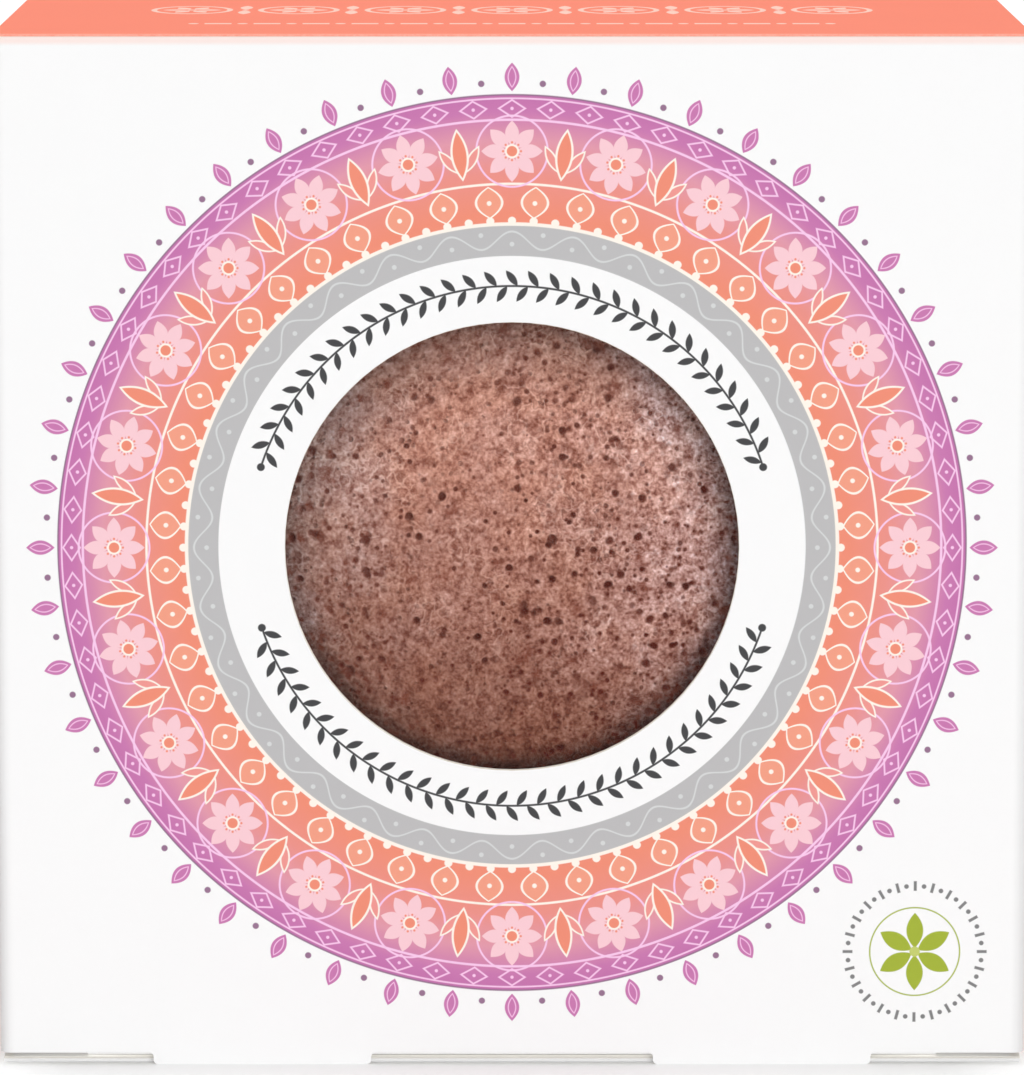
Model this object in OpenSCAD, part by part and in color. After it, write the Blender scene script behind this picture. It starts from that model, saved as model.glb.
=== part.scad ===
// Konjac facial sponge in its folding carton: a dry half-ball sponge stands behind a round film window,
// in a straight-tuck carton of one creased board. Front is -Y, up is +Z, and the origin is under the middle.

/* [Sponge] */
// Diameter of the dry half-ball sponge
sponge_d = 83; // [70:1:96]
// Thickness of the sponge, from its flat back to the crown of the dome
sponge_t = 40; // [34:1:48]
// Radius that rounds the edge of the flat back
sponge_rim_r = 9; // [5:0.5:13]
// Fullness of the dome: 2 makes it an ellipse, and more makes its crown flatter
dome_fullness = 2.5; // [2:0.1:3]

/* [Board] */
// Thickness of the carton board
board_t = 0.5; // [0.35:0.05:0.6]
// Outer radius of the carton's upright folds
fold_r = 0.9; // [0.7:0.05:1.2]
// Gap at a crease, between a panel and the round fold of the flap that turns on it
crease_gap = 0.05; // [0.03:0.01:0.1]

/* [Room inside] */
// Room between the sponge's edge and each side panel
side_room = 2; // [1.5:0.1:6]
// Room between the top of the sponge and the lid
head_room = 4.2; // [3.8:0.1:10]
// Gap between the sponge and what it rests on or leans against
seat_gap = 0.3; // [0.2:0.05:0.5]

/* [Window] */
// Diameter of the round window in the front panel
window_d = 38.5; // [30:0.5:44]
// Height of the window's centre above the middle of the front panel
window_rise = 0.75; // [-2:0.25:3]
// Side of the square film patch behind the window
film_side = 50; // [46:1:54]
// Thickness of the film
film_t = 0.05; // [0.03:0.01:0.1]
// Thickness of a layer of glue
glue_t = 0.05; // [0.03:0.01:0.1]
// Bare margin between the window's edge and the glue round it
glue_margin = 1.5; // [0.5:0.25:2]

/* [Lower front edge] */
// Height of the relief cut along the lower edge of the front panel
relief_h = 1; // [0.8:0.1:1.5]
// Width of the middle relief, between the two feet
notch_w = 24.2; // [16:0.1:28]
// Width of each foot
foot_w = 18.7; // [10:0.1:20]
// Radius at the corners of the feet
foot_corner_r = 0.35; // [0.2:0.05:0.45]

/* [Lid and bottom panel] */
// How far each side edge of the lid lies inside the carton's side
lid_inset = 0.3; // [0.2:0.05:0.6]
// How far the top edge of the front panel lies below the lid's upper face
front_drop = 0.15; // [0.1:0.05:0.4]
// Gap between a tuck flap's round fold and the front panel
tuck_gap = 0.15; // [0.1:0.05:0.3]

/* [Tuck flaps] */
// Length of a tuck flap from its crease
tuck_len = 13; // [9:0.5:14]
// Lean of a tucked flap away from the front panel, in degrees
tuck_lean = 16; // [15:0.5:20]
// Gap between each end of a tuck flap and the side panel
tuck_end_gap = 1; // [0.9:0.1:2]
// Radius at the free corners of a tuck flap
tuck_corner_r = 7; // [3:0.5:8]
// Length of the slit at each end of a tuck flap's crease
slit_len = 6; // [3:0.5:10]
// Width of the slit
slit_w = 0.7; // [0.5:0.1:1.2]
// Radius at the shoulders beside the slits
shoulder_r = 1; // [0.5:0.1:1.5]

/* [Dust flaps] */
// Length of a dust flap from its crease
dust_len = 27; // [18:0.5:30]
// Gap between the lid and the dust flaps under it
dust_gap = 0.1; // [0.08:0.01:0.2]
// Gap between each end of a dust flap's crease and the carton's upright fold
dust_end_gap = 0.2; // [0.1:0.05:0.5]
// Distance from the tuck flap's crease back to the lug of a dust flap
lug_back = 1.5; // [1.4:0.1:2.5]
// Depth of the notch in front of the crease, which the lug hooks past
notch_depth = 1.6; // [0.5:0.1:3]
// Length of that notch along the flap
notch_len = 4; // [3:0.25:7]
// Length of the lug
lug_len = 9; // [6:0.5:12]
// Slope of the front edge past the lug, in degrees
front_taper = 12; // [5:1:20]
// Slope of the rear edge, in degrees
rear_taper = 30; // [28:1:36]
// Radius at the free corners of a dust flap
dust_corner_r = 4; // [2:0.5:5]

/* [Glued seam] */
// Width of the glue flap, from the back panel's fold
glue_flap_w = 12; // [9:0.5:16]
// How far the glue flap stops short of the carton's top and bottom
glue_flap_end = 1.7; // [1.5:0.1:4]
// Slope of the glue flap's ends, in degrees
glue_flap_taper = 20; // [10:1:35]
// Radius at the glue flap's corners
glue_corner_r = 1.5; // [0.5:0.25:3]
// How far the free edge of the side panel stops short of the back panel's face
seam_setback = 0.35; // [0.2:0.05:0.8]
// Bare margin round the line of glue
seam_margin = 3; // [2:0.5:4]

/* [Hidden] */

round_steps = 6;          // pieces in a rounded corner of an outline
dome_steps = 36;          // pieces in the curve of the dome
rim_steps = 8;            // pieces in the rounded rim
turn_fn = 96;             // facets that stand for a full turn
overrun = board_t;        // how far a cutter runs past what it cuts

bead_r = board_t / 2;     // a crease is a round fold of the board's own thickness

// The carton is sized round the sponge
carton_w = sponge_d + 2 * side_room + 2 * board_t;
carton_d = sponge_t + 2 * board_t + glue_t + film_t + 2 * seat_gap;
carton_h = sponge_d + head_room + seat_gap + 2 * board_t;
half_w = carton_w / 2;
half_d = carton_d / 2;
flat_half = half_w - fold_r;
wall_y = half_d - fold_r;
front_in = -half_d + board_t;

// Creases of the lid and the tuck flap, and of the dust flaps below them
lid_axis_y = half_d - bead_r;
lid_axis_z = carton_h - bead_r;
tuck_axis_y = front_in + tuck_gap + bead_r;
lid_half = half_w - lid_inset;
dust_axis_x = half_w - bead_r;
dust_axis_z = carton_h - board_t - dust_gap - bead_r;
dust_end_y = wall_y - dust_end_gap;

// Heights of the panels' edges at the top; the bottom mirrors them, apart from the front panel
back_top = carton_h - board_t - crease_gap;
side_top = dust_axis_z - bead_r - crease_gap;
front_top = carton_h - front_drop;

window_z = carton_h / 2 + window_rise;
glue_fold_x = half_w - board_t - glue_t - fold_r;
sponge_z = board_t + seat_gap + sponge_d / 2;
sponge_back_y = half_d - board_t - seat_gap;

// Points of an arc of radius r that rounds the corner b between a and c
function unit(v) = v / norm(v);
function turned(v, angle) = [v.x * cos(angle) - v.y * sin(angle), v.x * sin(angle) + v.y * cos(angle)];
function corner_arc(a, b, c, r) =
    let (
        to_a = unit(a - b),
        to_c = unit(c - b),
        half = acos(to_a * to_c) / 2,
        centre = b + unit(to_a + to_c) * r / sin(half),
        start = b + to_a * r / tan(half) - centre,
        sweep = sign(cross(to_c, to_a)) * (2 * half - 180)
    )
    [for (i = [0 : round_steps]) centre + turned(start, -sweep * i / round_steps)];

// An outline with each corner rounded by its own radius, or left sharp where that is zero
function rounded(points, radii) =
    let (n = len(points))
    [for (i = [0 : n - 1])
        each radii[i] > 0
            ? corner_arc(points[(i + n - 1) % n], points[i], points[(i + 1) % n], radii[i])
            : [points[i]]];

// Half-ball profile: flat back, rounded rim, and a dome that is a quarter of a full ellipse
sponge_profile =
    let (
        radius = sponge_d / 2,
        flat = radius - sponge_rim_r,
        dome = sponge_t - sponge_rim_r,
        bend = 2 / dome_fullness
    )
    concat(
        [[0, 0]],
        [for (i = [0 : rim_steps - 1])
            let (a = 90 * i / rim_steps) [flat + sponge_rim_r * sin(a), sponge_rim_r * (1 - cos(a))]],
        [for (i = [0 : dome_steps - 1])
            let (a = 90 * i / dome_steps)
                [radius * pow(cos(a), bend), sponge_rim_r + dome * pow(sin(a), bend)]],
        [[0, sponge_t]]
    );

// Moves the children of the top closure to the bottom
module at_bottom() {
    translate([0, 0, carton_h]) mirror([0, 0, 1]) children();
}

// What lies inside a face of the board that runs straight from a to b and bends round both at radius r
module wrap(a, b, r) {
    low = -overrun;
    tall = carton_h + 2 * overrun;
    across = b.x > a.x ? [0, r] : [r, 0];
    translate([a.x - across.x, a.y - across.y, low])
        cube([b.x - a.x + 2 * across.x, b.y - a.y + 2 * across.y, tall]);
    for (p = [a, b]) translate([p.x, p.y, low]) cylinder(h = tall, r = r, $fn = turn_fn);
}

// Board that bends round an upright fold at a and at b, cut to the children's outline
module bent_board(a, b) {
    intersection() {
        difference() {
            wrap(a, b, fold_r);
            wrap(a, b, fold_r - board_t);
        }
        children();
    }
}

// A round crease along X
module crease_x(half_len, y, z) {
    translate([-half_len, y, z]) rotate([0, 90, 0]) cylinder(h = 2 * half_len, r = bead_r, $fn = turn_fn);
}

module front_panel() {
    foot_in = notch_w / 2;
    foot_out = foot_in + foot_w;
    side = half_w + overrun;
    // Drawn in X and Z: two feet below, and a step down to the folds at each end of the top edge
    outline = [
        [-side, relief_h], [-foot_out, relief_h], [-foot_out, 0], [-foot_in, 0], [-foot_in, relief_h],
        [foot_in, relief_h], [foot_in, 0], [foot_out, 0], [foot_out, relief_h], [side, relief_h],
        [side, back_top], [flat_half, back_top], [flat_half, front_top],
        [-flat_half, front_top], [-flat_half, back_top], [-side, back_top]
    ];
    r = foot_corner_r;
    radii = [0, r, r, r, r, r, r, r, r, 0, 0, 0, 0, 0, 0, 0];
    color("white") difference() {
        bent_board([-flat_half, -wall_y], [flat_half, -wall_y])
            translate([0, -wall_y, 0]) rotate([90, 0, 0])
                linear_extrude(fold_r + overrun) polygon(rounded(outline, radii));
        translate([0, -half_d - overrun, window_z]) rotate([-90, 0, 0])
            cylinder(h = board_t + 2 * overrun, d = window_d, $fn = turn_fn);
    }
}

module back_panel() {
    low = carton_h - back_top;
    side = half_w + overrun;
    color("salmon") bent_board([-flat_half, wall_y], [glue_fold_x, wall_y])
        translate([-side, wall_y, low]) cube([side + glue_fold_x, fold_r + overrun, back_top - low]);
}

module side_board(x, length) {
    low = carton_h - side_top;
    color("salmon") translate([x, -wall_y, low]) cube([board_t, length, side_top - low]);
}

module left_side_panel() {
    side_board(-half_w, 2 * wall_y);
}

module right_side_panel() {
    side_board(half_w - board_t, wall_y + half_d - seam_setback);
}

module glue_flap() {
    low = carton_h - back_top;
    front = wall_y - glue_flap_w;
    rear = half_d + overrun;
    drop = glue_flap_w * tan(glue_flap_taper);
    // Drawn in Y and Z: the fold at the rear, then the flap with its sloping ends
    outline = [
        [rear, low], [rear, back_top], [wall_y, back_top], [wall_y, carton_h - glue_flap_end],
        [front, carton_h - glue_flap_end - drop], [front, glue_flap_end + drop], [wall_y, glue_flap_end],
        [wall_y, low]
    ];
    color("whitesmoke") bent_board([glue_fold_x, front], [glue_fold_x, wall_y])
        translate([glue_fold_x, 0, 0]) rotate([90, 0, 90])
            linear_extrude(fold_r + overrun)
                polygon(rounded(outline, [0, 0, 0, 0, glue_corner_r, glue_corner_r, 0, 0]));
}

module seam_adhesive() {
    drop = glue_flap_w * tan(glue_flap_taper) + seam_margin;
    low = glue_flap_end + drop;
    color("gold")
        translate([half_w - board_t - glue_t, wall_y - glue_flap_w + seam_margin, low])
            cube([glue_t, glue_flap_w - 2 * seam_margin, carton_h - 2 * low]);
}

// A square patch behind the window, from depth y to y + thick
module window_patch(y, thick) {
    translate([-film_side / 2, y, window_z - film_side / 2]) cube([film_side, thick, film_side]);
}

module window_film() {
    color("lightblue", 0.3) window_patch(front_in + glue_t, film_t);
}

module film_adhesive() {
    color("gold") difference() {
        window_patch(front_in, glue_t);
        translate([0, front_in - overrun, window_z]) rotate([-90, 0, 0])
            cylinder(h = glue_t + 2 * overrun, d = window_d + 2 * glue_margin, $fn = turn_fn);
    }
}

// The lid turns on its rear crease and carries the tuck flap on its front crease
module closure_panel() {
    color("salmon") {
        translate([-lid_half, tuck_axis_y, carton_h - board_t])
            cube([2 * lid_half, lid_axis_y - tuck_axis_y, board_t]);
        crease_x(lid_half, lid_axis_y, lid_axis_z);
        crease_x(lid_half, tuck_axis_y, lid_axis_z);
    }
}

// Hangs from the lid's front crease, with a slit at each end that locks on the dust flaps
module tuck_flap() {
    // The lean lifts the inner corner of the flap's edge, so the edge starts lower to clear the lid
    start = -(bead_r + crease_gap + bead_r * sin(tuck_lean)) / cos(tuck_lean);
    full = start - slit_w;
    end_x = half_w - board_t - tuck_end_gap;
    neck_x = end_x - slit_len;
    outline = [
        [-neck_x, start], [-neck_x, full], [-end_x, full], [-end_x, -tuck_len],
        [end_x, -tuck_len], [end_x, full], [neck_x, full], [neck_x, start]
    ];
    radii = [0, 0, shoulder_r, tuck_corner_r, tuck_corner_r, shoulder_r, 0, 0];
    color("whitesmoke")
        translate([0, tuck_axis_y, lid_axis_z]) rotate([90 + tuck_lean, 0, 0])
            linear_extrude(board_t, center = true) polygon(rounded(outline, radii));
}

// Folds in from the left side panel, under the lid
module dust_flap() {
    lug_y = tuck_axis_y + lug_back;
    notch_y = lug_y + notch_depth;
    lug_end = notch_len + lug_len;
    front_fall = (dust_len - lug_end) * tan(front_taper);
    rear_fall = (dust_len - dust_end_gap) * tan(rear_taper);
    outline = [
        [0, notch_y], [notch_len, notch_y], [notch_len, lug_y], [lug_end, lug_y],
        [dust_len, lug_y + front_fall], [dust_len, dust_end_y - rear_fall],
        [dust_end_gap, dust_end_y], [0, dust_end_y]
    ];
    radii = [0, 0, shoulder_r, shoulder_r, dust_corner_r, dust_corner_r, 0, 0];
    color("whitesmoke") translate([-dust_axis_x, 0, dust_axis_z]) {
        linear_extrude(board_t, center = true) polygon(rounded(outline, radii));
        translate([0, notch_y, 0]) rotate([-90, 0, 0])
            cylinder(h = dust_end_y - notch_y, r = bead_r, $fn = turn_fn);
    }
}

module sponge() {
    color("rosybrown") translate([0, sponge_back_y, sponge_z]) rotate([90, 0, 0])
        rotate_extrude($fn = turn_fn) polygon(sponge_profile);
}

front_panel();
back_panel();
left_side_panel();
right_side_panel();
glue_flap();
seam_adhesive();
window_film();
film_adhesive();
closure_panel();  // top_lid
tuck_flap();  // top_tuck_flap
dust_flap();  // top_dust_flap_left
mirror([1, 0, 0]) dust_flap();  // top_dust_flap_right
at_bottom() closure_panel();  // bottom_panel
at_bottom() tuck_flap();  // bottom_tuck_flap
at_bottom() dust_flap();  // bottom_dust_flap_left
at_bottom() mirror([1, 0, 0]) dust_flap();  // bottom_dust_flap_right
sponge();
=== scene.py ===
import math

import bpy
import numpy as np
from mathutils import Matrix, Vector, kdtree, noise


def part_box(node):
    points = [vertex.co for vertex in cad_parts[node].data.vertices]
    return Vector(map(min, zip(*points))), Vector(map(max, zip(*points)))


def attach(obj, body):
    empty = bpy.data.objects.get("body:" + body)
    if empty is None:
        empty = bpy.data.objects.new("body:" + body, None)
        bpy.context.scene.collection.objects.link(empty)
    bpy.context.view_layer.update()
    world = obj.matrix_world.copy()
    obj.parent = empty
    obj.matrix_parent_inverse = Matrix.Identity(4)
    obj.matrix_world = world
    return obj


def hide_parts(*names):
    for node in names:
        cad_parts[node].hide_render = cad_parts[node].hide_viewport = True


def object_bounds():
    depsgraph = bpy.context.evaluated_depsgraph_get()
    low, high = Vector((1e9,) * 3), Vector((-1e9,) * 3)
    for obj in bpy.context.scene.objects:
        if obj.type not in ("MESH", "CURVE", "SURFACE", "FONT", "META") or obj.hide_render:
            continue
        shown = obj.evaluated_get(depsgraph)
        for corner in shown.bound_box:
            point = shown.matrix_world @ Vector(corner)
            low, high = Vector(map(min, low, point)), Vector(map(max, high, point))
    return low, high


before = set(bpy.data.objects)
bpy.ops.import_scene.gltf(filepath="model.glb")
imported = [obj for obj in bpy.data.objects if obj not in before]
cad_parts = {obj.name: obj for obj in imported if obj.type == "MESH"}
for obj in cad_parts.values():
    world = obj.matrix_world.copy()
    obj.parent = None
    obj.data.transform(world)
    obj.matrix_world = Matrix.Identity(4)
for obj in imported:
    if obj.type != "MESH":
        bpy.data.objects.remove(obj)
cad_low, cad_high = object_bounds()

# Sizes are in metres, and patterns are laid out in millimetres
MM = 0.001

# Camera: in front of the carton, a little above its lid, looking down on it
CAMERA_AWAY = 500 * MM          # from the front panel
CAMERA_HEIGHT = 129.4 * MM      # above the ground
CAMERA_TILT = 8.66              # degrees below the horizontal
CAMERA_LENS = 200.2             # on a sensor of 36
CAMERA_SHIFT = -0.08

# Light: a white surface that faces a lamp and the sky renders about as it is written
SKY_LEVEL = 0.59
LAMPS = {                       # level, degrees across, and where the light comes from
    "key": (0.3, 40, (0.3, -0.91, 0.28)),
    "top": (0.3, 60, (0, 0, 1)),
}
FLOOR_SIZE = 8
FLOOR_WHITE = 0.86
FLOOR_GLOW = 0.2                # clear of the carton, for the camera only
FLOOR_SHADE_HALF = 36.0         # half the width of the floor's middle without glow, in millimetres
FLOOR_SHADE_FADE = 9.0          # millimetres over which the glow comes up round it

# Carton
BOARD = 0.5 * MM
RIM_BEVEL = 0.05 * MM           # of the die-cut edge of the window

# Light that a white floor sends through and round the board at the carton's lower front edge
EDGE_GLOW = 0.18                # a little above the ground
FOOT_GLOW = 0.12                # right at the ground
SLOT_GLOW = 0.13                # on the bottom panel's inner face, beyond the ends of its tuck flap

# Sponge
SPONGE_RIM = 9 * MM             # radius at the edge of its flat back
SPONGE_FULLNESS = 2.5           # of the dome, where 2 is an ellipse
SPONGE_LEVEL = 8                # subdivisions of the ball that it is shaped from
SPONGE_CROWD = -0.95            # below zero crowds the mesh towards the crown
SPONGE_SEED = 7
PROFILE_STEPS = 900             # on each stretch of its profile
PORE_TRIES = 60000              # points of the skin at which a pore may open
CELL_SHARE = 0.87               # of the squared spacing, which is the area round a point of the mesh
WINDOW_RISE = 2.2               # the window's middle above the sponge's, in millimetres

# Ink and material colours, as 8-bit sRGB
WHITE_INK = (250, 250, 250)
CORAL_INK = (252, 134, 106)
# Rubbed ink at the creases; also the pale pink of the painted bounce light at the front's upper fold
RUBBED_AND_BOUNCE_INK = (252, 214, 202)
RING_CORAL_INK = (241, 143, 118)
PEACH_INK = (244, 160, 134)
ROSE_INK = (240, 152, 146)
PINK_INK = (226, 153, 171)
PALE_PINK_INK = (250, 206, 214)
PURPLE_INK = (202, 120, 176)
MAUVE_INK = (150, 112, 142)
LILAC_INK = (250, 205, 238)
CREAM_INK = (255, 246, 235)
GREY_INK = (190, 189, 190)
PALE_GREY_INK = (214, 216, 216)
DARK_INK = (66, 66, 68)
GREEN_INK = (164, 180, 54)
PALE_GREEN_INK = (196, 206, 110)
DOT_GREY_INK = (128, 128, 128)
PALE_CORAL_INK = (255, 208, 192)
BARE_BOARD = (238, 235, 228)
BOARD_FLECK = (206, 196, 178)
CUT_BOARD = (240, 236, 228)
CUT_FIBRE = (226, 219, 206)
FILM = (238, 240, 242)
GLUE_TONES = ((214, 203, 176), (236, 230, 212))

# The wreath's colour from its inner edge to its outer one
BLUSH = (
    (0.0, RING_CORAL_INK),
    (0.34, (236, 146, 137)),
    (0.62, PINK_INK),
    (0.86, PURPLE_INK),
    (1.0, (196, 112, 172)),
)

# The sponge's skin from its darkest fibre to its palest, its flakes with their painted shadows, and the
# painted shade of its hollows, pits and pores
SPONGE_TONES = (
    (0.0, (106, 56, 46)),
    (0.28, (148, 95, 81)),
    (0.52, (180, 128, 112)),
    (0.78, (206, 157, 143)),
    (1.0, (234, 193, 181)),
)
FLAKE_EDGE = (238, 194, 178)
FLAKE_SHADE = (120, 66, 52)
WEB_HOLLOW_SHADE = (132, 72, 56)
PIT_SHADE = (104, 50, 36)
PORE_LIP_SHADE = (134, 76, 60)
PORE_DEPTH_SHADE = (92, 36, 26)


def linear(colour):
    """An 8-bit sRGB colour as a linear RGBA one."""
    def channel(value):
        share = value / 255
        return share / 12.92 if share <= 0.04045 else ((share + 0.055) / 1.055) ** 2.4
    return tuple(channel(value) for value in colour) + (1.0,)


# Shader writing

class Wire:
    """A shader socket that can stand in an expression."""

    def __init__(self, paint, socket):
        self.paint = paint
        self.socket = socket

    def math(self, operation, *values):
        return self.paint.node("ShaderNodeMath", {"operation": operation}, values)

    def __add__(self, other):
        return self.math("ADD", self, other)

    def __sub__(self, other):
        return self.math("SUBTRACT", self, other)

    def __rsub__(self, other):
        return self.math("SUBTRACT", other, self)

    def __mul__(self, other):
        return self.math("MULTIPLY", self, other)

    def __truediv__(self, other):
        return self.math("DIVIDE", self, other)

    def __pow__(self, other):
        return self.math("POWER", self, other)

    def __abs__(self):
        return self.math("ABSOLUTE", self)

    def __neg__(self):
        return self * -1


class Paint:
    """A material, built node by node."""

    def __init__(self, name):
        self.material = bpy.data.materials.new(name)
        self.material.use_nodes = True
        self.tree = self.material.node_tree
        self.tree.nodes.clear()

    def node(self, kind, settings=None, inputs=(), output=0):
        """Adds a node, sets it up, fills its sockets with values or wires, and returns one output."""
        made = self.tree.nodes.new(kind)
        for name, value in (settings or {}).items():
            if name == "stops":
                made.color_ramp.elements.remove(made.color_ramp.elements[1])
                for i, (at, colour) in enumerate(value):
                    elements = made.color_ramp.elements
                    stop = elements[0] if i == 0 else elements.new(at)
                    stop.position = at
                    stop.color = colour
            else:
                setattr(made, name, value)
        for key, value in (inputs.items() if isinstance(inputs, dict) else enumerate(inputs)):
            if isinstance(value, Wire):
                self.tree.links.new(value.socket, made.inputs[key])
            else:
                made.inputs[key].default_value = value
        return Wire(self, made.outputs[output]) if made.outputs else None

    def position(self, origin=(0, 0, 0)):
        """Where a point lies from origin, as a vector in millimetres."""
        here = self.node("ShaderNodeTexCoord", output="Object")
        back = tuple(-value / MM for value in origin)
        settings = {"operation": "MULTIPLY_ADD"}
        return self.node("ShaderNodeVectorMath", settings, [here, (1 / MM,) * 3, back])

    def split(self, vector):
        made = self.node("ShaderNodeSeparateXYZ", inputs=[vector])
        return [made] + [Wire(self, made.socket.node.outputs[i]) for i in (1, 2)]

    def mix(self, factor, under, over, blend="MIX"):
        settings = {"data_type": "RGBA", "blend_type": blend}
        return self.node("ShaderNodeMix", settings, {0: factor, 6: under, 7: over}, 2)

    def noise(self, vector, size, detail=2.0, roughness=0.5):
        """Cloudy noise from 0 to 1, whose patches are about size millimetres across."""
        inputs = {"Vector": vector, "Scale": 1 / size, "Detail": detail, "Roughness": roughness}
        return self.node("ShaderNodeTexNoise", inputs=inputs)

    def ease(self, value, low, high):
        """0 below low, 1 above high, smooth between."""
        return self.node("ShaderNodeMapRange", {"interpolation_type": "SMOOTHSTEP"},
                         {"Value": value, "From Min": low, "From Max": high})

    def ramp(self, value, stops):
        """A colour from a row of places from 0 to 1, each with its 8-bit sRGB colour."""
        settings = {"stops": [(at, linear(colour)) for at, colour in stops]}
        return self.node("ShaderNodeValToRGB", settings, [value])

    def stretch(self, vector, scale):
        """A place that is drawn out along the axes whose scale is below 1."""
        return self.node("ShaderNodeVectorMath", {"operation": "MULTIPLY"}, [vector, scale])

    def finish(self, **surface):
        """Ends the material with a Principled shader. A height socket goes through a Bump node."""
        height = surface.pop("height", None)
        depth = surface.pop("depth", 0.02)
        if height is not None:
            relief = {"Strength": 1.0, "Distance": depth * MM, "Height": height}
            surface["Normal"] = self.node("ShaderNodeBump", inputs=relief)
        inputs = {name.replace("_", " "): value for name, value in surface.items()}
        shader = self.node("ShaderNodeBsdfPrincipled", inputs=inputs)
        self.node("ShaderNodeOutputMaterial", inputs=[shader])
        return self.material


# Printed shapes: each is a distance in millimetres, below zero inside

INK_EDGE = 0.07                 # millimetres over which a printed edge fades


def length_of(across, along):
    return (across * across + along * along) ** 0.5


def disc(across, along, radius):
    return length_of(across, along) - radius


def leaf(across, along, half_width, half_length):
    """A pointed leaf that lies along the second axis."""
    return abs(across) - (1 - (along / half_length) ** 2) * half_width


def outline(distance, width):
    return abs(distance) - width / 2


def both(one, other):
    return one.math("MAXIMUM", one, other)


def either(one, other):
    return one.math("MINIMUM", one, other)


def inked(distance):
    """How much ink covers a point, from its distance to the shape."""
    settings = {"operation": "MULTIPLY_ADD", "use_clamp": True}
    return distance.paint.node("ShaderNodeMath", settings, [distance, -1 / INK_EDGE, 0.5])


def fold_angle(angle, copies, turned=0.0):
    """The angle from the nearest of several axes; turned by half a step if that is 0.5."""
    return angle.math("PINGPONG", angle + turned * math.tau / copies, math.pi / copies)


def repeat(along, period, shift=0.0):
    """Distance from the middle of the repeat that a point lies in."""
    return along.math("WRAP", along + shift, period / 2, -period / 2)


def leaning(across, along, degrees):
    """Two axes turned so that a leaf along the second one leans over."""
    lean = math.radians(degrees)
    cos, sin = math.cos(lean), math.sin(lean)
    return across * cos - along * sin, across * sin + along * cos


class Polar:
    """Points round a centre, given by two of the place's axes."""

    def __init__(self, across, up):
        self.radius = length_of(across, up)
        self.angle = across.math("ARCTAN2", up, across)

    def petal(self, copies, turned=0.0):
        """Across and along for petals that stand on the nearest of several axes."""
        off = fold_angle(self.angle, copies, turned)
        return self.radius * off.math("SINE", off), self.radius * off.math("COSINE", off)


def layered(paint, colour, layers):
    """Prints inks over a colour, one shape after another."""
    for distance, ink in layers:
        colour = paint.mix(inked(distance), colour, linear(ink) if isinstance(ink, tuple) else ink)
    return colour


# Front print: a wreath of small flowers in rings about the window

LAUREL_LINE = 22.35             # radii, in millimetres
WINDOW_RING = 24.9
GREY_RING = 27.6
BLUSH_START = 28.5
LEAF_ROW = 29.45
LEAF_LINE = 31.0
BLADE_ROW = 33.7
FLOWER_ROW = 33.75
FLOWER_LINE = 36.4
LOZENGE_ROW = 37.35
LOZENGE_LINE = 38.2
WREATH_RING = 38.5
FRINGE_DOTS = 39.5
FRINGE_BUDS = 40.0
FLOWERS = 24
WAVES = 32
BEADS = 96
LAUREL_STEPS = 80               # leaves of the sprigs, if they went all round
LAUREL_REACH = 16               # leaves from the middle of a sprig to its end
FINE_LINE = 0.14                # widths of printed lines
LINE = 0.2
BADGE = (34.5, -35.1)           # its middle, across and up from the window's


def fringe_layers(polar):
    """Outside the wreath: small upright buds with a dot between."""
    across, along = polar.petal(FLOWERS * 2)
    dot_across, dot_along = polar.petal(FLOWERS * 2, 0.5)
    bud = leaf(across, along - FRINGE_BUDS, 0.62, 1.2)
    return [
        (bud, PURPLE_INK),
        (outline(bud + 0.3, 0.09), LILAC_INK),
        (disc(dot_across, dot_along - FRINGE_DOTS, 0.27), MAUVE_INK),
    ]


def leaf_row(polar):
    """Small round leaves with a dot in each, and a line."""
    across, along = polar.petal(FLOWERS * 2, 0.5)
    low_leaf = leaf(across, along - LEAF_ROW, 1.1, 1.3)
    return [
        (low_leaf, PEACH_INK),
        (outline(low_leaf, LINE), CREAM_INK),
        (disc(across, along - (LEAF_ROW - 0.05), 0.2), CREAM_INK),
        (outline(polar.radius - LEAF_LINE, LINE), CREAM_INK),
    ]


def flower_row(polar):
    """Flowers of eight petals in circles."""
    across, along = polar.petal(FLOWERS)
    off = along - FLOWER_ROW
    flower = Polar(off, across)
    petal_across, petal_along = flower.petal(8)
    eye = disc(off, across, 0.52)
    return [
        (outline(flower.radius - 3.0, 0.16), LILAC_INK),
        (leaf(petal_across, petal_along - 1.5, 0.58, 1.08), PALE_PINK_INK),
        (disc(petal_across, petal_along - 0.75, 0.1), RING_CORAL_INK),
        (eye, RING_CORAL_INK),
        (outline(eye, 0.16), CREAM_INK),
    ]


def blade_row(polar):
    """Upright blades between the flowers, with a leaning leaf at each side."""
    across, along = polar.petal(FLOWERS, 0.5)
    stalk = along - BLADE_ROW
    blade = leaf(across, stalk, 0.66, 2.1)
    tilted = leaf(*leaning(abs(across) - 1.0, stalk + 0.5, 34), 0.36, 1.2)
    return [
        (tilted, ROSE_INK),
        (outline(tilted, FINE_LINE), CREAM_INK),
        (blade, RING_CORAL_INK),
        (outline(blade, 0.18), CREAM_INK),
    ]


def lozenge_row(polar):
    """A line, open lozenges with a dot in each, and the lines at the wreath's edge."""
    across, along = polar.petal(FLOWERS * 3)
    off = along - LOZENGE_ROW
    lozenge = (across / 1.1 + abs(off) / 0.72 - 1) * 0.6
    return [
        (outline(polar.radius - FLOWER_LINE, LINE), LILAC_INK),
        (outline(lozenge, FINE_LINE), LILAC_INK),
        (disc(across, off, 0.14), LILAC_INK),
        (outline(polar.radius - LOZENGE_LINE, FINE_LINE), LILAC_INK),
        (outline(polar.radius - WREATH_RING, FINE_LINE), MAUVE_INK),
    ]


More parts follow.
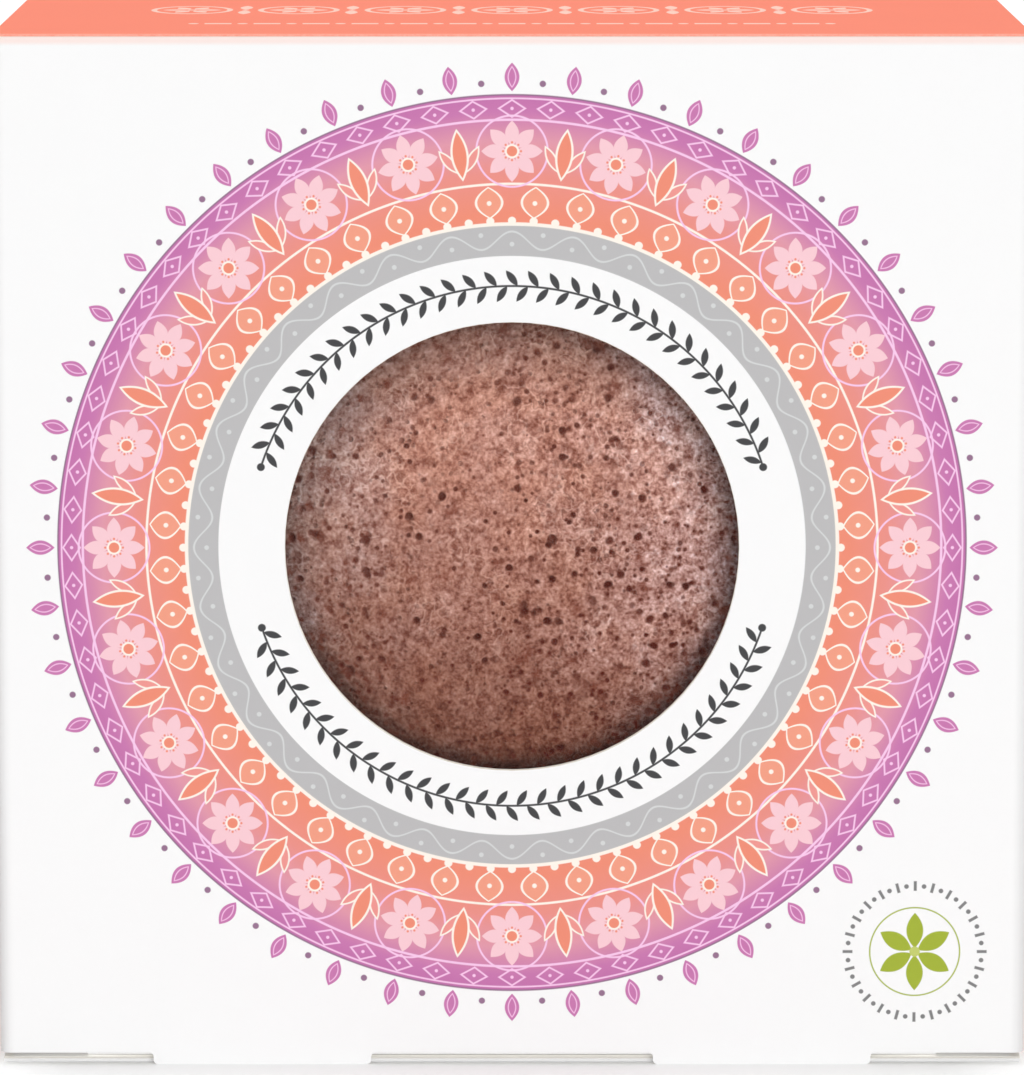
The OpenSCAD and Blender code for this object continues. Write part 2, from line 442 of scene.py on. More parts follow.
def wreath_layers(paint, polar):
    """The broad ring: rows of leaves, flowers, blades and lozenges over a blush from coral to purple."""
    span = {"Value": polar.radius, "From Min": BLUSH_START, "From Max": WREATH_RING}
    blush = paint.ramp(paint.node("ShaderNodeMapRange", inputs=span), BLUSH)
    ground = [(polar.radius - WREATH_RING, blush)]
    return ground + leaf_row(polar) + flower_row(polar) + blade_row(polar) + lozenge_row(polar)


def ring_layers(polar):
    """The grey ring with its wave and dots, the cream beads round it, and the white ring inside."""
    radius = polar.radius
    wave = radius - 26.25 - radius.math("COSINE", polar.angle * WAVES) * 0.72
    dot_across, dot_along = polar.petal(WAVES)
    gap_across, gap_along = polar.petal(WAVES, 0.5)
    bead_across, bead_along = polar.petal(BEADS)
    return [
        (disc(bead_across, bead_along - GREY_RING - 0.28, 0.34), CREAM_INK),
        (radius - GREY_RING, GREY_INK),
        (outline(wave, 0.17), PALE_GREY_INK),
        (disc(dot_across, dot_along - 25.9, 0.2), PALE_GREY_INK),
        (disc(gap_across, gap_along - 26.75, 0.2), PALE_GREY_INK),
        (outline(radius - GREY_RING, 0.3), CREAM_INK),
        (radius - WINDOW_RING, WHITE_INK),
    ]


def laurel_layers(polar):
    """Two dark sprigs of small leaves that follow the window, one above it and one below."""
    step = math.tau * LAUREL_LINE / LAUREL_STEPS
    along = polar.angle * LAUREL_LINE
    rise = polar.radius - LAUREL_LINE
    from_middle = abs(abs(polar.angle) - math.pi / 2) * LAUREL_LINE

    def leaves(shift, side, reach):
        across, tip = leaning(repeat(along, step, shift), rise * side - 0.66, 36)
        return both(leaf(across, tip, 0.3, 0.82), from_middle - reach)

    outer = leaves(0, 1, (LAUREL_REACH - 0.5) * step)
    inner = leaves(step / 2, -1, LAUREL_REACH * step)
    stem = both(abs(rise) - 0.09, from_middle - LAUREL_REACH * step)
    berry = disc(from_middle - LAUREL_REACH * step, rise, 0.34)
    return [(either(either(outer, inner), either(stem, berry)), DARK_INK)]


def badge_layers(across, up):
    """A small round badge: a ring of grey dots and dashes about a plain green flower."""
    ring, count = 5.75, 24
    polar = Polar(across, up)
    dash_across, dash_along = polar.petal(count)
    dot_across, dot_along = polar.petal(count, 0.5)
    petal_across, petal_along = polar.petal(6, 0.5)
    return [
        (both(abs(dash_along - ring) - 0.42, abs(dash_across) - 0.13), DOT_GREY_INK),
        (disc(dot_across, dot_along - ring, 0.2), DOT_GREY_INK),
        (leaf(petal_across, petal_along - 1.85, 0.72, 1.55), GREEN_INK),
        (outline(polar.radius - 3.85, 0.12), GREEN_INK),
        (disc(across, up, 0.45), PALE_GREEN_INK),
    ]


# Finishes of the board, the film and the glue

def board_grain(paint, place, size, strength):
    """A fibrous unevenness about 1, for colour, and its noise, for bump."""
    fibre = paint.noise(place, size, 4.0, 0.65)
    cloud = paint.noise(place, 9.0, 2.0)
    shade = (fibre - 0.5) * strength + (cloud - 0.5) * strength * 0.8 + 1
    return shade, fibre


def times(paint, colour, shade):
    """A colour made lighter or darker."""
    base = colour if isinstance(colour, Wire) else colour[:3]
    return paint.node("ShaderNodeVectorMath", {"operation": "SCALE"}, {0: base, "Scale": shade})


def front_print(window):
    """White coated board with the round ornament, sprigs and badge, with pink bounce light from the lid
    painted along its upper fold and shade painted at its side folds.
    """
    paint = Paint("front_print")
    place = paint.position(window)
    across, _, up = paint.split(place)
    polar = Polar(across, up)
    layers = (fringe_layers(polar) + wreath_layers(paint, polar) + ring_layers(polar)
              + laurel_layers(polar) + badge_layers(across - BADGE[0], up - BADGE[1]))
    colour = layered(paint, linear(WHITE_INK), layers)
    top = (cad_high.z - window.z) / MM - BOARD / MM
    # Painted bounce light: a pale pink band just below the front's upper fold, for the light that the coral
    # lid throws on it
    colour = paint.mix(paint.ease(up, top - 0.45, top) * 0.5, colour, linear(RUBBED_AND_BOUNCE_INK))
    shade, fibre = board_grain(paint, place, 0.35, 0.012)
    fold = cad_high.x / MM
    # Painted shade: the board darkens towards its rounded side folds, where they turn away from the light
    shade = shade * (1 - paint.ease(abs(across), fold - 1.4, fold) * 0.2)
    return paint.finish(Base_Color=times(paint, colour, shade), Roughness=(fibre - 0.5) * 0.12 + 0.5,
                        Specular_IOR_Level=0.25, height=fibre, depth=0.006)


def plain_board(name):
    """The uncoated inner face of the board, with its short fibres."""
    paint = Paint(name)
    place = paint.position()
    shade, fibre = board_grain(paint, paint.stretch(place, (1.0, 1.0, 0.35)), 0.3, 0.07)
    fleck = paint.ease(paint.noise(place, 0.55, 3.0), 0.68, 0.76)
    base = paint.mix(fleck * 0.35, linear(BARE_BOARD), linear(BOARD_FLECK))
    return paint.finish(Base_Color=times(paint, base, shade), Roughness=0.85, height=fibre, depth=0.02)


def cut_board():
    """A cut edge of the board, with its layers of fibre."""
    paint = Paint("board_edge")
    fibre = paint.noise(paint.position(), 0.12, 3.0, 0.7)
    base = paint.mix(fibre, linear(CUT_FIBRE), linear(CUT_BOARD))
    return paint.finish(Base_Color=base, Roughness=0.9, height=fibre, depth=0.03)


def glow_by_floor(paint, axes):
    """The little light that a white floor sends through and round the carton's lower front edge.

    Places are in millimetres: up from the ground, and across and along from the carton's middle.
    """
    across, along, up = axes
    above = paint.ease(up, 0.35, 0.6) * paint.ease(up, 2.2, 1.0) * EDGE_GLOW
    below = paint.ease(up, 0.25, 0.05) * FOOT_GLOW
    front = (above + below) * paint.ease(along, -17.5, -19.0)
    ends = paint.ease(abs(across), 30.0, 37.0) * paint.ease(abs(across), 43.4, 42.4)
    slot = paint.ease(along, -18.0, -19.2) * paint.ease(up, 0.4, 0.48) * paint.ease(up, 0.6, 0.52)
    return times(paint, (1, 1, 1), ends * slot * SLOT_GLOW + front)


def printed_board(name, outward, cut_axes, creases=(), pattern=None, ink=CORAL_INK):
    """Board printed outside and bare inside. Creases are (axis, place in metres) where the ink is rubbed."""
    paint = Paint(name)
    place = paint.position()
    axes = paint.split(place)
    normal = paint.node("ShaderNodeTexCoord", output="Normal")
    normals = paint.split(normal)
    facing = paint.node("ShaderNodeVectorMath", {"operation": "DOT_PRODUCT"}, [normal, outward], "Value")
    outside = facing.math("GREATER_THAN", facing, -0.3)
    cuts = [facing.math("GREATER_THAN", abs(normals[axis]), 0.75) for axis in cut_axes]
    cut = cuts[0]
    for other in cuts[1:]:
        cut = cut.math("MAXIMUM", cut, other)
    shade, fibre = board_grain(paint, place, 0.35, 0.03)
    ink = linear(ink)
    if pattern:
        ink = layered(paint, ink, pattern(*axes))
    rubbed = 0.0
    for axis, at in creases:
        near = paint.ease(abs(axes[axis] - at / MM), 0.8, 0.1)
        rubbed = near * (paint.ease(fibre, 0.3, 0.7) * 0.5 + 0.5) + rubbed
    if creases:
        ink = paint.mix(rubbed * 0.45, ink, linear(RUBBED_AND_BOUNCE_INK))
    bare_shade, bare_fibre = board_grain(paint, paint.stretch(place, (1.0, 0.35, 1.0)), 0.3, 0.07)
    colour = paint.mix(outside, times(paint, linear(BARE_BOARD), bare_shade), times(paint, ink, shade))
    colour = paint.mix(cut, colour, linear(CUT_BOARD))
    return paint.finish(Base_Color=colour, Roughness=outside * -0.25 + 0.85, Specular_IOR_Level=0.1,
                        Emission_Color=glow_by_floor(paint, axes), Emission_Strength=1.0,
                        height=fibre * outside * 0.3 + bare_fibre * (1 - outside), depth=0.02)


def lid_pattern(across, back, _):
    """Two pale rows of plain ornament: flowers in rings with leaf pairs between, and dashes with dots."""
    step, small_step = 9.4, 4.2
    squash = 1.25                   # the rows are lower than wide
    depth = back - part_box("top_lid")[0].y / MM
    row = depth - 26.5
    flower = Polar(repeat(across, step), row / squash)
    petal_across, petal_along = flower.petal(6)
    ring = outline(flower.radius - 3.35, 0.5)
    petal = leaf(petal_across, petal_along - 1.55, 0.55, 1.05)
    flowers = both(either(ring, either(petal, flower.radius - 0.36)), abs(across) - step * 3.5)
    half = repeat(across, step, step / 2)
    blade = leaf(half, abs(row) - 2.6, 0.55, 2.1)
    bead = disc(half, row, 0.34)
    large = either(flowers, both(either(blade, bead), abs(across) - step * 3))
    small_row = depth - 11.5
    dash = both(abs(repeat(across, small_step)) - 1.15, abs(small_row) - 0.55)
    dot = disc(repeat(across, small_step, small_step / 2), small_row / squash, 0.45)
    small = both(either(dash, dot), abs(across) - small_step * 6.7)
    return [(large, PALE_CORAL_INK), (small, PALE_CORAL_INK)]


def dust_board(name, hinge_side, outer):
    """A dust flap: coated white outside with a coral strip by its crease, and bare inside."""
    paint = Paint(name)
    place = paint.position()
    axes = paint.split(place)
    facing = paint.split(paint.node("ShaderNodeTexCoord", output="Normal"))[2]
    outside = facing.math("GREATER_THAN", facing * outer, -0.3)
    cut = facing.math("LESS_THAN", abs(facing), 0.25)
    shade, fibre = board_grain(paint, place, 0.35, 0.02)
    bleed = inked(cad_high.x / MM - 5.2 - axes[0] * hinge_side)
    ink = paint.mix(bleed, linear(WHITE_INK), linear(CORAL_INK))
    bare_shade, bare_fibre = board_grain(paint, place, 0.3, 0.07)
    colour = paint.mix(outside, times(paint, linear(BARE_BOARD), bare_shade), times(paint, ink, shade))
    colour = paint.mix(cut, colour, linear(CUT_BOARD))
    return paint.finish(Base_Color=colour, Roughness=outside * -0.35 + 0.85,
                        Emission_Color=glow_by_floor(paint, axes), Emission_Strength=1.0,
                        height=fibre * outside * 0.3 + bare_fibre * (1 - outside), depth=0.02)


def clear_film():
    """Glossy clear film with faint waves: all but unseen from in front, and a mirror when seen along it."""
    paint = Paint("clear_film")
    wave = paint.noise(paint.position(), 14.0, 1.0)
    edge_on = paint.node("ShaderNodeLayerWeight", inputs={"Blend": 0.5}, output="Facing")
    return paint.finish(Base_Color=linear(FILM), Metallic=1.0, Roughness=0.07,
                        Alpha=edge_on ** 2.5 * 0.35 + 0.005, height=wave, depth=0.25)


def dried_glue():
    """Dried carton glue, slightly yellow and uneven."""
    paint = Paint("dried_glue")
    swirl = paint.noise(paint.position(), 1.6, 3.0)
    base = paint.mix(swirl, *(linear(tone) for tone in GLUE_TONES))
    return paint.finish(Base_Color=base, Roughness=swirl * 0.3 + 0.25, height=swirl, depth=0.04)


# Finish of the sponge

def flaked(paint, place, skin):
    """Flakes of dried skin: pale curling edges, each with a painted shadow on one side."""
    curl = paint.noise(place, 1.15, 2.0, 0.45) - 0.5
    share = paint.ease(paint.noise(place, 3.6, 2.0), 0.46, 0.6)
    skin = paint.mix(paint.ease(abs(curl), 0.05, 0.0) * share * 0.34, skin, linear(FLAKE_EDGE))
    # Painted shadow beside each pale edge
    return paint.mix(paint.ease(abs(curl - 0.07), 0.045, 0.0) * share * 0.34, skin, linear(FLAKE_SHADE))


def dome_painted_light_and_tone(paint, place, across, up, patch):
    """Shares and tints of the dome, nearly all painted light and shade: painted light above, towards the left
    and right and at the lower left, painted shade below, round its sides, at the right and lower right and
    under the window's rim, and warm patches that are its own colour.
    """
    drift = patch * 12 - 6
    # Painted shade round the dome's sides, less of it above
    painted_shade_sides = paint.ease(length_of(across, up), 15.0, 20.5) * (1 - paint.ease(up, 2.0, 14.0) * 0.3)
    # Painted light at the left side
    painted_light_left_rim = paint.ease(-across, 14.5, 19.0)
    # Painted shade on the lower dome
    painted_shade_low = paint.ease(up + across * 0.25 + drift, 3.0, -19.0)
    # Painted light on the upper dome
    crown = paint.ease(up + drift * 0.5, -1.0, 13.0)
    warm = paint.ease(paint.noise(place, 4.2, 2.0), 0.4, 0.62)

    # Painted light and shade that belong to the window's rim, its painted shadow among them, fade outside it
    rise = up - WINDOW_RISE
    from_window = length_of(across, rise)
    framed = paint.ease(from_window, 27.0, 20.5)
    # Painted shadow of the window's rim on the lower dome
    edge = paint.ease(from_window, 17.2, 19.3) * paint.ease(rise, -3.0, -11.0) * framed
    # Painted light at the lower left
    painted_light_low_left = paint.ease(-across - rise, 20.0, 24.0) * framed
    # Painted shade at the lower right
    painted_shade_low_right = paint.ease(across - rise, 22.5, 25.5) * framed
    # Painted shade at the bottom
    painted_shade_bottom = paint.ease(up, -14.0, -19.5) * framed
    # Painted shade at the right rim
    painted_shade_right_rim = paint.ease(across, 15.5, 20.0) * framed
    # Painted light towards the left and towards the right
    left = paint.ease(-across + drift, 6.0, 17.0) * (1 - painted_shade_low) * framed
    right = paint.ease(across + drift, 4.0, 16.0) * (1 - painted_shade_low * 0.5) * framed
    # Each painted share with its tint; only warm is the sponge's own colour
    return [
        (painted_shade_low, (0.5, 0.39, 0.33)),
        (crown, (1.31, 1.38, 1.41)),
        (left, (0.98, 1.16, 1.28)),
        (right, (1.28, 1.54, 1.78)),
        (warm, (1.02, 0.98, 0.93)),
        (painted_shade_sides, (0.58, 0.66, 0.7)),
        (painted_shade_bottom, (0.4, 0.48, 0.57)),
        (painted_light_left_rim, (1.2, 1.25, 1.27)),
        (edge, (0.6, 0.6, 0.63)),
        (painted_light_low_left, (1.17, 1.34, 1.46)),
        (painted_shade_low_right, (0.78, 0.78, 0.8)),
        (painted_shade_right_rim, (0.74, 0.74, 0.78)),
    ]


def small_pits(paint, place):
    """Pits smaller than the modelled pores, soft ones and sharp ones: a share of painted shade, and of bump.
    """
    pits = 0.0
    for cell, reach, soft, weight in ((0.95, 0.24, 0.32, 0.5), (0.62, 0.2, 0.26, 0.95)):
        cells = {"Vector": place, "Scale": 1 / cell}
        nearest = paint.node("ShaderNodeTexVoronoi", {"feature": "F1"}, cells)
        draw = paint.split(paint.node("ShaderNodeTexVoronoi", {"feature": "F1"}, cells, "Color"))
        pit = paint.ease(nearest - draw[0] * reach, soft, 0.02) * draw[1] ** 1.5 * weight
        pits = pit.math("MAXIMUM", pit, pits)
    return pits


def dry_sponge():
    """Dry konjac fibre: a mottled reddish brown skin, with shade painted into its pores, pits and hollows,
    and light and shade painted across its dome.
    """
    paint = Paint("dry_sponge")
    low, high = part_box("sponge")
    place = paint.position((low + high) / 2)
    across, _, up = paint.split(place)
    patch = paint.noise(place, 6.0, 3.0)
    web = paint.noise(place, 1.7, 4.0, 0.6)
    clump = paint.noise(place, 0.85, 3.0, 0.55)
    grain = paint.noise(place, 0.3, 3.0, 0.55)

    # The contrast of skin and pores grows towards the lower right
    lively = paint.ease(across - up * 0.6 + patch * 10 - 5, -14.0, 15.0)
    fine = ((grain - 0.5) * 1.45 + (clump - 0.5) * 1.1) * (lively * 0.3 + 0.78)
    skin = flaked(paint, place, paint.ramp(fine + (web - 0.5) * 0.35 + 0.475, SPONGE_TONES))
    # Painted light and shade across the dome, with its warm patches
    for share, tint in dome_painted_light_and_tone(paint, place, across, up, patch):
        skin = paint.mix(share, skin, tint + (1,), "MULTIPLY")
    # Painted shade in the hollows of the web
    skin = paint.mix(paint.ease(web, 0.43, 0.3) * 0.65, skin, linear(WEB_HOLLOW_SHADE))
    pits = small_pits(paint, place)
    pore = paint.node("ShaderNodeAttribute", {"attribute_name": "pore"}, output="Fac")
    # Painted shade in the small pits
    colour = paint.mix(pits * (lively * 0.35 + 0.7), skin, linear(PIT_SHADE))
    # Painted shade in the pores, deepest at their middles
    colour = paint.mix(paint.ease(pore, 0.0, 0.55) * 0.6, colour, linear(PORE_LIP_SHADE))
    colour = paint.mix(paint.ease(pore, 0.25, 0.95) * (lively * 0.3 + 0.7), colour, linear(PORE_DEPTH_SHADE))
    height = grain * 0.5 + clump * 0.6 + web * 0.4 - pits
    return paint.finish(Base_Color=colour, Roughness=0.92, Specular_IOR_Level=0.12, height=height, depth=0.16)


# Modelling

def deselect():
    bpy.ops.object.select_all(action="DESELECT")


def only(piece):
    """Selects one piece and makes it the active one."""
    deselect()
    piece.select_set(True)
    bpy.context.view_layer.objects.active = piece


def copy_node(node, name):
    """A merged copy of a CAD node's mesh, as a new piece."""
    piece = bpy.data.objects.new(name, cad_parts[node].data.copy())
    bpy.context.scene.collection.objects.link(piece)
    piece.data.materials.clear()
    only(piece)
    bpy.ops.object.mode_set(mode="EDIT")
    bpy.ops.mesh.select_all(action="SELECT")
    bpy.ops.mesh.remove_doubles(threshold=0.001 * MM)
    bpy.ops.object.mode_set(mode="OBJECT")
    return piece


def lay_bake_map(piece, low, high):
    """Gives the front face nearly the whole of the piece's map, and the rest a strip below it."""
    strip, margin, gap = 0.12, 0.004, 0.02
    edge_start, edge_span = 0.112, 0.012
    tilt = 0.02                     # of a face that still counts as an edge
    layer = piece.data.uv_layers.new(name="OFBake")
    span = high - low
    for face in piece.data.polygons:
        for corner in face.loop_indices:
            point = piece.data.vertices[piece.data.loops[corner].vertex_index].co
            u = margin + (1 - 2 * margin) * (point.x - low.x) / span.x
            v = (point.z - low.z) / span.z
            if face.normal.y < -tilt:
                v = strip + gap + v * (1 - margin - gap - strip)
            elif face.normal.y > tilt:
                v = margin + v * (strip - gap)
            else:
                v = edge_start + edge_span * (point.y - low.y) / span.y
            layer.data[corner].uv = (u, v)


def front_board():
    """The printed front: the CAD panel's shape, with the die-cut rim of its window softened."""
    low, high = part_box("front_panel")
    film_low, film_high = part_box("window_film")
    window = Vector((0, 0, ((film_low + film_high) / 2).z))
    piece = copy_node("front_panel", "front_board")
    mesh = piece.data

    def from_window(point):
        return math.hypot(point.x, point.z - window.z)

    rim = min(from_window(v.co) for v in mesh.vertices)
    bpy.ops.object.mode_set(mode="EDIT")
    bpy.ops.mesh.select_all(action="DESELECT")
    bpy.ops.object.mode_set(mode="OBJECT")
    for edge in mesh.edges:
        ends = [mesh.vertices[i].co for i in edge.vertices]
        on_rim = all(abs(from_window(end) - rim) < 0.02 * MM for end in ends)
        edge.select = on_rim and abs(ends[0].y - ends[1].y) < 0.01 * MM
    bpy.ops.object.mode_set(mode="EDIT")
    bpy.ops.mesh.bevel(offset=RIM_BEVEL, segments=2, affect="EDGES")
    bpy.ops.object.mode_set(mode="OBJECT")
    bpy.ops.object.shade_smooth_by_angle(angle=math.radians(25))
    for material in (front_print(window), plain_board("front_inside"), cut_board()):
        mesh.materials.append(material)
    printed, inside, cut = range(3)
    inner_fold = high.x - BOARD + 0.02 * MM
    for face in mesh.polygons:
        behind = abs(face.center.x) < inner_fold and face.center.y > low.y + BOARD
        upright = abs(face.normal.z) <= 0.5
        if not upright or from_window(face.center) < rim + 0.03 * MM:
            face.material_index = cut
        elif face.normal.y > 0.02 or behind:
            face.material_index = inside
        else:
            face.material_index = printed
    lay_bake_map(piece, low, high)
    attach(piece, "carton")
    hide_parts("front_panel")


def sponge_profile(radius, thick):
    """Radius and depth from the crown to the middle of the flat back, with the distance along."""
    dome = thick - SPONGE_RIM
    flat = radius - SPONGE_RIM
    bend = 2 / SPONGE_FULLNESS
    quarter = np.linspace(0, math.pi / 2, PROFILE_STEPS)
    curve = math.pi / 2 * np.linspace(0, 1, PROFILE_STEPS) ** (1 / bend)
    across = np.concatenate([radius * np.sin(curve) ** bend, flat + SPONGE_RIM * np.cos(quarter),
                             np.linspace(flat, 0, PROFILE_STEPS)])
    depth = np.concatenate([dome * (1 - np.cos(curve).clip(0) ** bend), dome + SPONGE_RIM * np.sin(quarter),
                            np.full(PROFILE_STEPS, thick)])
    keep = np.concatenate([[True], np.hypot(np.diff(across), np.diff(depth)) > 1e-9])
    across, depth = across[keep], depth[keep]
    along = np.concatenate([[0], np.cumsum(np.hypot(np.diff(across), np.diff(depth)))])
    return across, depth, along


def wrap_ball(ball, low, high):
    """Moves the points of a unit ball onto the half-ball. Returns them with their normals."""
    across, depth, along = sponge_profile((high.x - low.x) / 2, high.y - low.y)

    # The ball's angle from the front is matched to the profile so that triangles keep their shape
    inner = slice(1, -1)
    spacing = np.diff(along)[1:]
    steps = (1 / across[1:-1] + 1 / across[2:].clip(1e-7)) / 2 * spacing
    stretch = np.concatenate([[0], np.cumsum(steps)])[:-1]
    stretch -= np.interp(along[np.argmax(across)], along[inner], stretch)
    polar = np.arccos(np.clip(-ball[:, 1], -1, 1))
    key = np.log(np.tan(np.clip(polar, 1e-6, math.pi - 1e-6) / 2)) + SPONGE_CROWD
    place = np.interp(key, stretch, along[inner])
    crown = key < stretch[0]
    place[crown] = along[1] * np.exp(key[crown] - stretch[0])

    out = np.interp(place, along, across)
    back = np.interp(place, along, depth)
    normal_out = np.interp(place, along, np.gradient(depth, along))
    normal_back = -np.interp(place, along, np.gradient(across, along))
    turn = np.arctan2(ball[:, 2], ball[:, 0])
    middle = (low.z + high.z) / 2
    points = np.column_stack([out * np.cos(turn), low.y + back, middle + out * np.sin(turn)])
    normals = np.column_stack([normal_out * np.cos(turn), normal_back, normal_out * np.sin(turn)])
    return points, normals / np.linalg.norm(normals, axis=1, keepdims=True)


def sponge_body():
    """A ball of even triangles, wrapped on the half-ball's profile and pitted with pores."""
    deselect()
    level = SPONGE_LEVEL
    bpy.ops.mesh.primitive_ico_sphere_add(subdivisions=level, radius=1, location=(0, 0, 0))
    piece = bpy.context.object
    piece.name = piece.data.name = "sponge_body"
    mesh = piece.data
    ball = np.empty(len(mesh.vertices) * 3)
    mesh.vertices.foreach_get("co", ball)
    points, normals = wrap_ball(ball.reshape(-1, 3), *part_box("sponge"))
    inset, pore = sponge_relief(points)
    points -= normals * inset[:, None]
    mesh.vertices.foreach_set("co", points.ravel())
    attribute = mesh.attributes.new("pore", "FLOAT", "POINT")
    attribute.data.foreach_set("value", pore.astype(np.float32))
    mesh.update()
    only(piece)
    bpy.ops.object.mode_set(mode="EDIT")
    bpy.ops.mesh.select_all(action="SELECT")
    bpy.ops.mesh.normals_make_consistent(inside=False)
    bpy.ops.object.mode_set(mode="OBJECT")
    bpy.ops.object.shade_smooth()
    mesh.materials.append(dry_sponge())
    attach(piece, "sponge")
    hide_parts("sponge")


def pore_places(draw, scaled, tree):
    """Points of the skin where a pore opens, each with the distance to its nearest neighbours."""
    tried = draw.permutation(len(scaled))[:PORE_TRIES]
    reach = np.array([tree.find_n(scaled[i], 2)[1][2] for i in tried])
    chance = draw.random(len(reach))

    # Pores are denser towards both sides and the lower right. A vertex stands for the area round it,
    # and where the mesh is coarser the pores are wider and fewer.
    crowd = np.array([noise.noise(Vector(scaled[i]) / 9) for i in tried])
    right = scaled[tried, 0]
    above = scaled[tried, 2] - scaled[:, 2].mean()
    crowd = np.clip(0.7 + 1.5 * crowd + 0.022 * np.abs(right + 2) + 0.016 * (right - above), 0.15, 2.5)
    crowd *= np.clip(0.15 / reach, 0, 1) ** 2
    opened = chance < crowd * reach ** 2 * CELL_SHARE * len(scaled) / PORE_TRIES
    return zip(tried[opened], reach[opened])


def sponge_relief(points):
    """How far each point of the skin lies in, and how deep in a pore it is."""
    draw = np.random.default_rng(SPONGE_SEED)
    scaled = points / MM
    tree = kdtree.KDTree(len(scaled))
    for i, p in enumerate(scaled):
        tree.insert(p, i)
    tree.balance()
    swell = np.array([noise.noise(Vector(p) / 11) for p in scaled])
    rough = np.array([noise.noise(Vector(p) / 1.1) + 0.6 * noise.noise(Vector(p) / 0.45) for p in scaled])
    inset = 0.22 * (swell + 1) + 0.09 * (rough + 1.6)
    pore = np.zeros(len(scaled))
    for i, spacing in pore_places(draw, scaled, tree):
        if pore[i] > 0.2:
            continue
        size = 0.12 + 0.1 * draw.random() + 0.26 * draw.random() ** 5
        deep = size * draw.uniform(1.2, 2.0)
        strength = 0.4 + 0.6 * draw.random() ** 0.6
        if size < spacing * 0.8:
            size = spacing * 0.9
        for _, j, away in tree.find_range(scaled[i], size * 1.4):
            ragged = 1 + 0.28 * noise.noise(Vector(scaled[j]) * 1.9)
            share = min(max((size * 1.25 * ragged - away) / (size * 0.7), 0), 1)
            share = share * share * (3 - 2 * share)
            pore[j] = max(pore[j], share * strength)
            inset[j] = max(inset[j], 0.1 + deep * share)
    return inset * MM, pore


# Carton finishes on the CAD panels

def dress(node, material):
    """Gives a CAD node its finish."""
    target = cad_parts[node]
    target.data.materials.clear()
    target.data.materials.append(material)


def dress_carton():
    lid_low, lid_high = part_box("top_lid")
    lid_creases = [(1, lid_low.y + BOARD / 2), (1, lid_high.y - BOARD / 2)]
    side_creases = [(1, cad_low.y + 1.1 * MM), (1, cad_high.y - 1.1 * MM)]
    back_creases = [(0, cad_low.x + 1.0 * MM)]
    dress("top_lid", printed_board("lid_board", (0, 0, 1), [0], lid_creases, lid_pattern))
    dress("bottom_panel", printed_board("bottom_board", (0, 0, -1), [0], ink=WHITE_INK))
    dress("top_tuck_flap", printed_board("top_tuck_board", (0, -1, 0), [0]))
    dress("bottom_tuck_flap", printed_board("bottom_tuck_board", (0, -1, 0), [0], ink=WHITE_INK))
    dress("back_panel", printed_board("back_board", (0, 1, 0), [2], back_creases))
    dress("left_side_panel", printed_board("left_board", (-1, 0, 0), [2], side_creases))
    dress("right_side_panel", printed_board("right_board", (1, 0, 0), [2, 1], side_creases))
    dress("glue_flap", printed_board("glue_flap_board", (0.7, 0.7, 0), [2]))
    for side, name in ((-1, "left"), (1, "right")):
        dress(f"top_dust_flap_{name}", dust_board(f"top_dust_{name}", side, 1))
        dress(f"bottom_dust_flap_{name}", dust_board(f"bottom_dust_{name}", side, -1))
    dress("window_film", clear_film())
    glue = dried_glue()
    dress("film_adhesive", glue)
    dress("seam_adhesive", glue)


# Stage

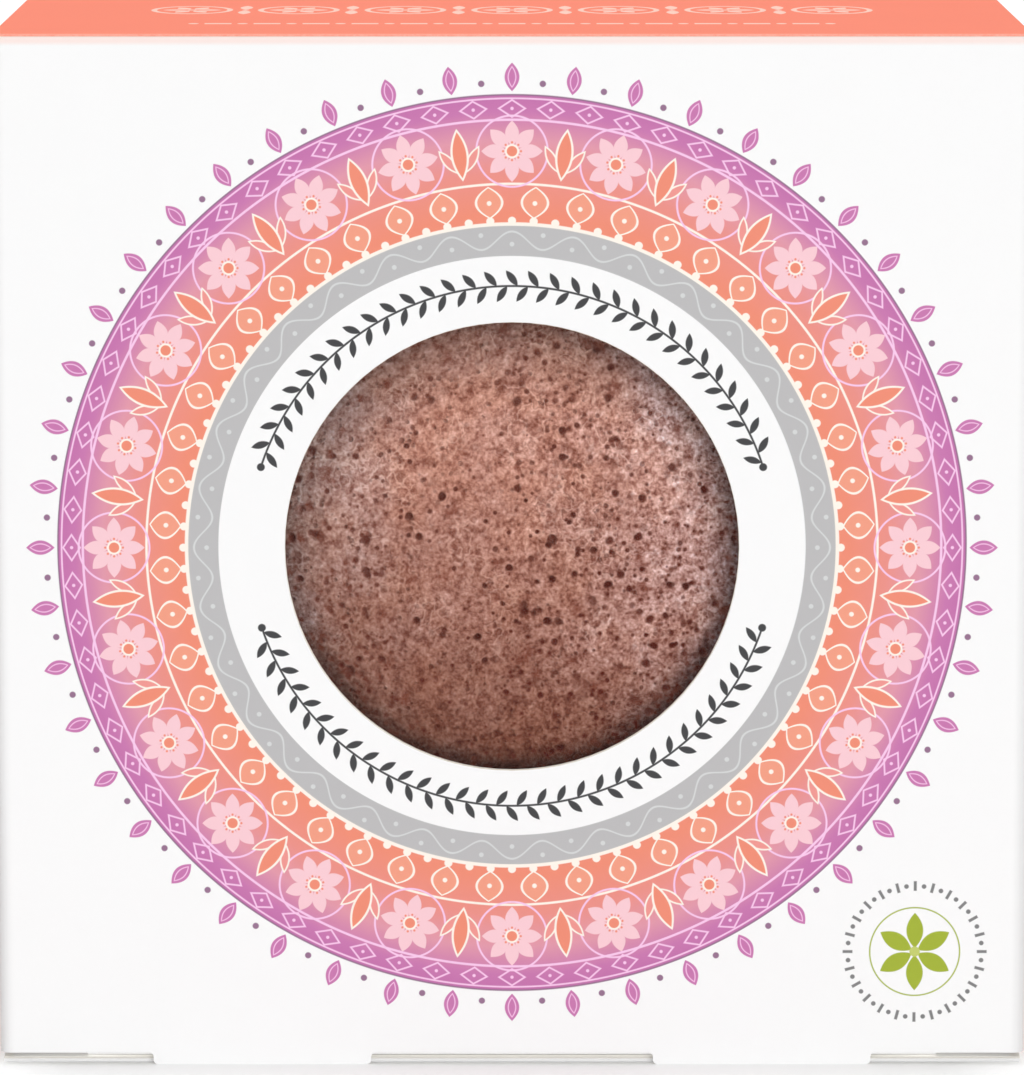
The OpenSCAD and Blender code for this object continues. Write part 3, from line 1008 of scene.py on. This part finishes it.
def add_floor():
    """A white floor that keeps the carton's shadow and is white to the camera beyond it."""
    deselect()
    bpy.ops.mesh.primitive_plane_add(size=FLOOR_SIZE, location=(0, 0, 0))
    floor = bpy.context.object
    floor.name = "floor"
    paint = Paint("floor_white")
    across, along, _ = paint.split(paint.position())
    beside = [abs(across) - FLOOR_SHADE_HALF, abs(along) - cad_high.y / MM]
    outside = length_of(*(gap.math("MAXIMUM", gap, 0.0) for gap in beside))
    clear = paint.ease(outside, 0.0, FLOOR_SHADE_FADE)
    seen = paint.node("ShaderNodeLightPath", output="Is Camera Ray")
    matt = paint.node("ShaderNodeBsdfDiffuse", inputs={"Color": (FLOOR_WHITE,) * 3 + (1,)})
    glow = {"Color": (1, 1, 1, 1), "Strength": seen * clear * FLOOR_GLOW}
    shader = paint.node("ShaderNodeAddShader", inputs=[matt, paint.node("ShaderNodeEmission", inputs=glow)])
    paint.node("ShaderNodeOutputMaterial", inputs=[shader])
    floor.data.materials.append(paint.material)


def add_sky():
    """Plain white all round, at full strength only for the camera and in gloss and film."""
    world = bpy.data.worlds.new("studio")
    bpy.context.scene.world = world
    world.use_nodes = True
    nodes, links = world.node_tree.nodes, world.node_tree.links
    path = nodes.new("ShaderNodeLightPath")
    seen = path.outputs["Is Camera Ray"]
    for ray in ("Is Glossy Ray", "Is Transmission Ray"):
        either_ray = nodes.new("ShaderNodeMath")
        either_ray.operation = "MAXIMUM"
        links.new(seen, either_ray.inputs[0])
        links.new(path.outputs[ray], either_ray.inputs[1])
        seen = either_ray.outputs[0]
    strength = nodes.new("ShaderNodeMapRange")
    links.new(seen, strength.inputs["Value"])
    strength.inputs["To Min"].default_value = SKY_LEVEL
    strength.inputs["To Max"].default_value = 1.0
    sky = nodes["Background"]
    sky.inputs["Color"].default_value = (1, 1, 1, 1)
    links.new(strength.outputs["Result"], sky.inputs["Strength"])


def add_lamps():
    """Soft suns from the front and from above."""
    for name, (level, softness, direction) in LAMPS.items():
        lamp = bpy.data.lights.new(name, "SUN")
        lamp.energy = level * math.pi
        lamp.angle = math.radians(softness)
        sun = bpy.data.objects.new(name, lamp)
        sun.rotation_euler = Vector(direction).to_track_quat("Z", "Y").to_euler()
        bpy.context.scene.collection.objects.link(sun)


def add_camera():
    """The photograph's view."""
    lens = bpy.data.cameras.new("camera")
    lens.lens = CAMERA_LENS
    lens.shift_y = CAMERA_SHIFT
    camera = bpy.data.objects.new("camera", lens)
    camera.location = (0, cad_low.y - CAMERA_AWAY, CAMERA_HEIGHT)
    camera.rotation_euler = (math.radians(90 - CAMERA_TILT), 0, 0)
    bpy.context.scene.collection.objects.link(camera)
    bpy.context.scene.camera = camera


bpy.context.scene.view_settings.view_transform = "Standard"
add_camera()
add_floor()
add_sky()
add_lamps()
dress_carton()
front_board()
sponge_body()
